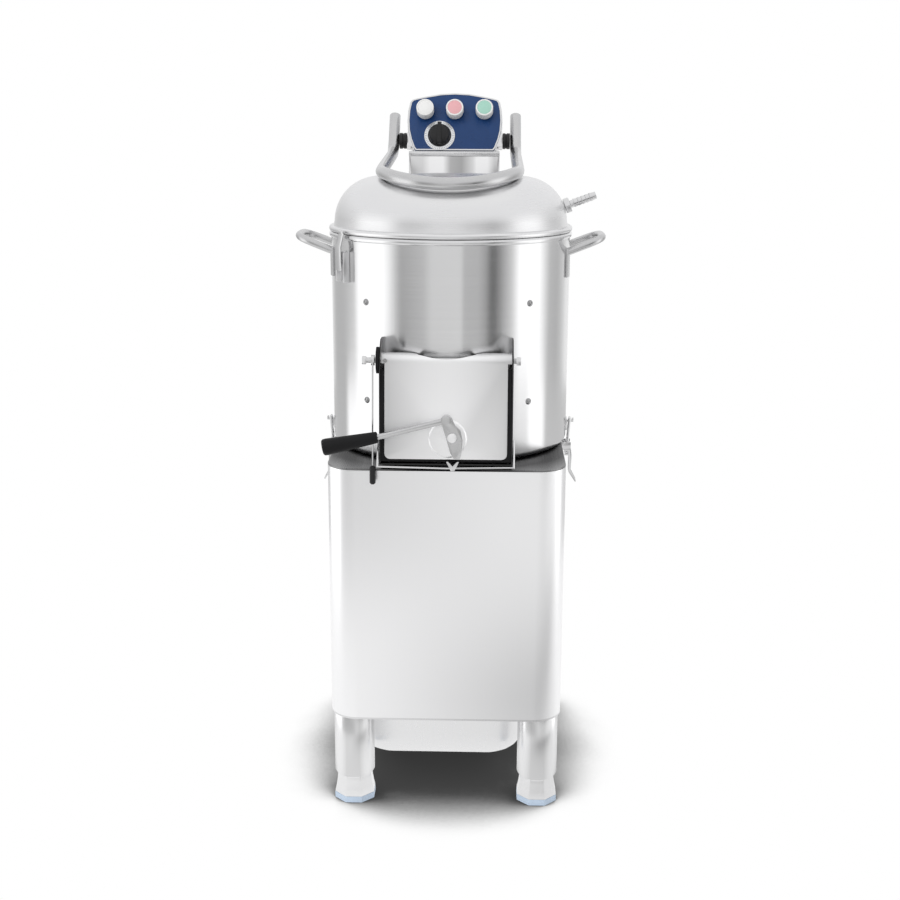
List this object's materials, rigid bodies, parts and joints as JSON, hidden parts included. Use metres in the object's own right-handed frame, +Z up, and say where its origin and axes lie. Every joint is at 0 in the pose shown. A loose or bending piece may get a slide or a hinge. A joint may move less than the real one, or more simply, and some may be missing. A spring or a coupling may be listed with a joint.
{
  "type": "electric potato peeler",
  "caption": "Floor-standing electric potato peeler with a stainless drum on a motor cabinet, a hinged dome lid, a latched outlet door, a control head and a waste pan.",
  "frame": {"origin": "on the floor, under the axis of the drum", "axes": "+X to the right seen from the front, +Y to the rear, +Z up; the outlet door and the controls face -Y"},
  "size_m": [0.493, 0.5284, 1.1065],
  "materials": {
    "satin_steel": "satin brushed stainless sheet",
    "polished_steel": "polished stainless bar and tube",
    "dark_steel": "dark painted bracket",
    "cast_metal": "machined cast iron",
    "motor_paint": "grey-blue motor paint",
    "grit": "bonded abrasive grit",
    "blue_paint": "blue satin enamel",
    "black_plastic": "black moulded plastic",
    "black_rubber": "black rubber",
    "white_plastic": "white moulded plastic",
    "pale_metal": "brushed dial plate",
    "foot_steel": "satin steel sleeve with a blue-grey pad"
  },
  "bodies": {
    "base": {"cabinet_shell": "satin_steel", "deck_plate": "satin_steel", "cabinet_floor": "satin_steel", "rear_panel": "satin_steel", "leg_front_left": "satin_steel", "leg_front_right": "satin_steel", "leg_rear_left": "satin_steel", "leg_rear_right": "satin_steel", "drum_shell": "satin_steel", "abrasive_liner": "grit", "outlet_frame": "satin_steel", "latch_wire": "polished_steel", "handle_right": "polished_steel", "handle_left": "polished_steel", "lid_keeper": "satin_steel", "clamp_keeper_right": "satin_steel", "clamp_keeper_left": "satin_steel", "clamp_base_right": "satin_steel", "clamp_base_left": "satin_steel", "rear_column": "satin_steel", "head_housing": "satin_steel", "head_fascia": "blue_paint", "dial_ring": "pale_metal", "pivot_bushing_right": "black_plastic", "pivot_bushing_left": "black_plastic", "bearing_housing": "cast_metal", "motor": "motor_paint", "motor_bracket": "dark_steel", "drive_belt": "black_rubber", "drain_pipe": "satin_steel", "cable_gland": "black_rubber"},
    "lid": {"lid_dome": "satin_steel", "yoke_handle": "polished_steel", "lid_spout": "polished_steel"},
    "hasp": {"lid_hasp": "polished_steel"},
    "door": {"door_panel": "satin_steel", "hinge_rod": "polished_steel", "door_seal": "black_rubber", "sensor_arm": "polished_steel", "sensor_magnet": "black_plastic"},
    "latch": {"latch_lever": "polished_steel", "lever_grip": "black_plastic"},
    "button_left": {"button_left": "white_plastic"},
    "button_middle": {"button_middle": "white_plastic"},
    "button_right": {"button_right": "white_plastic"},
    "timer_knob": {"timer_knob": "black_plastic"},
    "clamp_lever_right": {"clamp_lever_right": "polished_steel"},
    "clamp_lever_left": {"clamp_lever_left": "polished_steel"},
    "clamp_rod_right": {"clamp_rod_right": "polished_steel"},
    "clamp_rod_left": {"clamp_rod_left": "polished_steel"},
    "filter_pan": {"filter_pan": "satin_steel"},
    "drive": {"abrasive_disc": "grit", "drive_shaft": "cast_metal", "large_pulley": "cast_metal"},
    "motor_pulley": {"motor_pulley": "cast_metal"},
    "foot_front_left": {"foot_front_left": "foot_steel"},
    "foot_front_right": {"foot_front_right": "foot_steel"},
    "foot_rear_left": {"foot_rear_left": "foot_steel"},
    "foot_rear_right": {"foot_rear_right": "foot_steel"}
  },
  "joints": [
    {"name": "lid_hinge", "type": "hinge", "parent": "base", "child": "lid", "pos_m": [0, 0.228, 1.026], "axis": [-1, 0, 0], "range_deg": [0, 95]},
    {"name": "hasp_hinge", "type": "hinge", "parent": "lid", "child": "hasp", "pos_m": [-0.16299, -0.10994, 0.89585], "axis": [-0.5592, 0.829, 0], "range_deg": [0, 75]},
    {"name": "door_hinge", "type": "hinge", "parent": "base", "child": "door", "pos_m": [0, -0.205, 0.716], "axis": [-1, 0, 0], "range_deg": [0, 100]},
    {"name": "latch_pivot", "type": "hinge", "parent": "door", "child": "latch", "pos_m": [0.0095, -0.23299, 0.6054], "axis": [0, 0.9925, -0.1219], "range_deg": [0, 35]},
    {"name": "button_left_press", "type": "slide", "parent": "base", "child": "button_left", "axis": [0, 0.9272, -0.3746], "range_m": [0, 0.004], "stiffness_N_per_m": 600},
    {"name": "button_middle_press", "type": "slide", "parent": "base", "child": "button_middle", "axis": [0, 0.9272, -0.3746], "range_m": [0, 0.004], "stiffness_N_per_m": 600},
    {"name": "button_right_press", "type": "slide", "parent": "base", "child": "button_right", "axis": [0, 0.9272, -0.3746], "range_m": [0, 0.004], "stiffness_N_per_m": 600},
    {"name": "timer_turn", "type": "hinge", "parent": "base", "child": "timer_knob", "pos_m": [-0.026, 0.21912, 1.03503], "axis": [0, 0.9272, -0.3746], "range_deg": [0, 300]},
    {"name": "clamp_lever_right_hinge", "type": "hinge", "parent": "base", "child": "clamp_lever_right", "pos_m": [0.194, 0, 0.54], "axis": [0, -1, 0], "range_deg": [0, 90]},
    {"name": "clamp_rod_right_hinge", "type": "hinge", "parent": "clamp_lever_right", "child": "clamp_rod_right", "pos_m": [0.1928, 0, 0.53], "axis": [0, -1, 0], "range_deg": [-78, 0]},
    {"name": "clamp_lever_left_hinge", "type": "hinge", "parent": "base", "child": "clamp_lever_left", "pos_m": [-0.194, 0, 0.54], "axis": [0, 1, 0], "range_deg": [0, 90]},
    {"name": "clamp_rod_left_hinge", "type": "hinge", "parent": "clamp_lever_left", "child": "clamp_rod_left", "pos_m": [-0.1928, 0, 0.53], "axis": [0, 1, 0], "range_deg": [-78, 0]},
    {"name": "pan_slide", "type": "slide", "parent": "base", "child": "filter_pan", "axis": [1, 0, 0], "range_m": [0, 0.3]},
    {"name": "drive_spin", "type": "hinge", "parent": "base", "child": "drive", "pos_m": [0, 0, 0.5], "axis": [0, 0, 1], "continuous": true},
    {"name": "motor_spin", "type": "hinge", "parent": "base", "child": "motor_pulley", "pos_m": [0, 0.135, 0.395], "axis": [0, 0, 1], "continuous": true},
    {"name": "foot_front_left_level", "type": "slide", "parent": "base", "child": "foot_front_left", "axis": [0, 0, -1], "range_m": [0, 0.02]},
    {"name": "foot_front_right_level", "type": "slide", "parent": "base", "child": "foot_front_right", "axis": [0, 0, -1], "range_m": [0, 0.02]},
    {"name": "foot_rear_left_level", "type": "slide", "parent": "base", "child": "foot_rear_left", "axis": [0, 0, -1], "range_m": [0, 0.02]},
    {"name": "foot_rear_right_level", "type": "slide", "parent": "base", "child": "foot_rear_right", "axis": [0, 0, -1], "range_m": [0, 0.02]}
  ],
  "couplings": [
    {"joint": "clamp_rod_right_hinge", "follows": "clamp_lever_right_hinge", "ratio": -0.86},
    {"joint": "clamp_rod_left_hinge", "follows": "clamp_lever_left_hinge", "ratio": -0.86},
    {"joint": "motor_spin", "follows": "drive_spin", "ratio": 4.5455}
  ]
}
